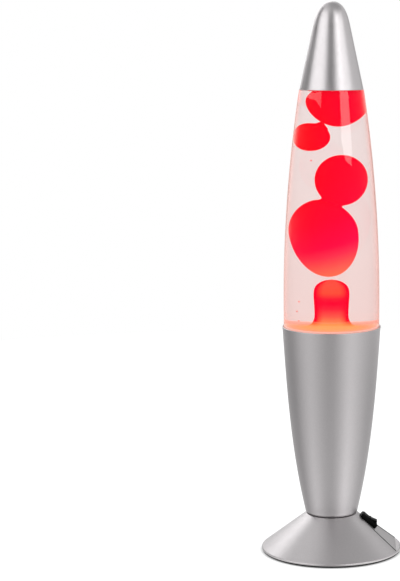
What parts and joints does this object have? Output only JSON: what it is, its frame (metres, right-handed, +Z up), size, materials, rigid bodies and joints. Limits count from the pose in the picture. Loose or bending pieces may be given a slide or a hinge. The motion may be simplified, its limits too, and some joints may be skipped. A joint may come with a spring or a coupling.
{
  "type": "liquid motion lamp",
  "caption": "Table lamp with a tapered glass bottle of liquid and wax over a bulb, in a silver cup on a cone foot with a rocker switch, under a lift-off silver cap.",
  "frame": {"origin": "on the table, on the lamp axis, at the underside of the rubber feet", "axes": "+Z up along the lamp axis, -Y towards the front, +X towards the switch"},
  "size_m": [0.105, 0.105, 0.41],
  "materials": {
    "silver_paint": "satin",
    "black_plastic": "matte",
    "black_gloss": "gloss",
    "black_rubber": "matte",
    "zinc_steel": "satin",
    "white_plastic": "gloss",
    "brass": "polished",
    "bulb_metal": "satin",
    "bulb_glass": "frosted",
    "seal": "matte",
    "lead_brown": "matte",
    "lead_black": "matte",
    "lead_blue": "matte",
    "bottle_glass": "clear",
    "liquid": "clear",
    "wax_red": "gloss",
    "wax_hot": "gloss"
  },
  "bodies": {
    "base": {"foot_shell": "silver_paint", "cup_shell": "silver_paint", "bottom_cover": "black_plastic", "rubber_feet": "black_rubber", "cover_screws": "zinc_steel", "cover_bracket": "zinc_steel", "threaded_nipple": "zinc_steel", "nipple_nut": "zinc_steel", "nipple_washer": "zinc_steel", "lampholder_base": "white_plastic", "lampholder_insert": "white_plastic", "lampholder_shell": "brass", "lampholder_sleeve": "white_plastic", "switch_housing": "black_plastic", "switch_terminals": "brass", "cord_grommet": "black_rubber", "terminal_block": "white_plastic", "terminal_screws": "zinc_steel", "live_lead": "lead_brown", "switched_lead": "lead_black", "neutral_lead": "lead_blue"},
    "socket_contact": {"centre_contact": "brass"},
    "bulb": {"bulb_glass": "bulb_glass", "bulb_cap": "bulb_metal", "bulb_insulator": "black_gloss", "bulb_contact": "bulb_metal", "bulb_stem": "bulb_glass", "filament": "bulb_metal"},
    "rocker": {"switch_rocker": "black_gloss"},
    "bottle": {"bottle": "bottle_glass", "bottle_closure": "white_plastic", "closure_seal": "seal", "liquid": "liquid", "wax_pool": "wax_hot", "wax_pair": "wax_red", "wax_blob": "wax_red", "wax_top": "wax_red", "wire_coil": "zinc_steel"},
    "cap": {"top_cap": "silver_paint"}
  },
  "joints": [
    {"name": "bottle_lift", "type": "slide", "parent": "base", "child": "bottle", "axis": [0, 0, 1], "range_m": [0, 0.09]},
    {"name": "cap_lift", "type": "slide", "parent": "bottle", "child": "cap", "axis": [0, 0, 1], "range_m": [0, 0.06]},
    {"name": "contact_rise", "type": "slide", "parent": "base", "child": "socket_contact", "axis": [0, 0, 1], "range_m": [0, 0.00283]},
    {"name": "bulb_turn", "type": "hinge", "parent": "socket_contact", "child": "bulb", "pos_m": [0, 0, 0.0486], "axis": [0, 0, 1], "range_deg": [0, 360]},
    {"name": "rocker_tilt", "type": "hinge", "parent": "base", "child": "rocker", "pos_m": [0.02924, 0, 0.02338], "axis": [0, 1, 0], "range_deg": [0, 20]}
  ],
  "couplings": [
    {"joint": "contact_rise", "follows": "bulb_turn", "m_per_rad": 0.00044882}
  ]
}
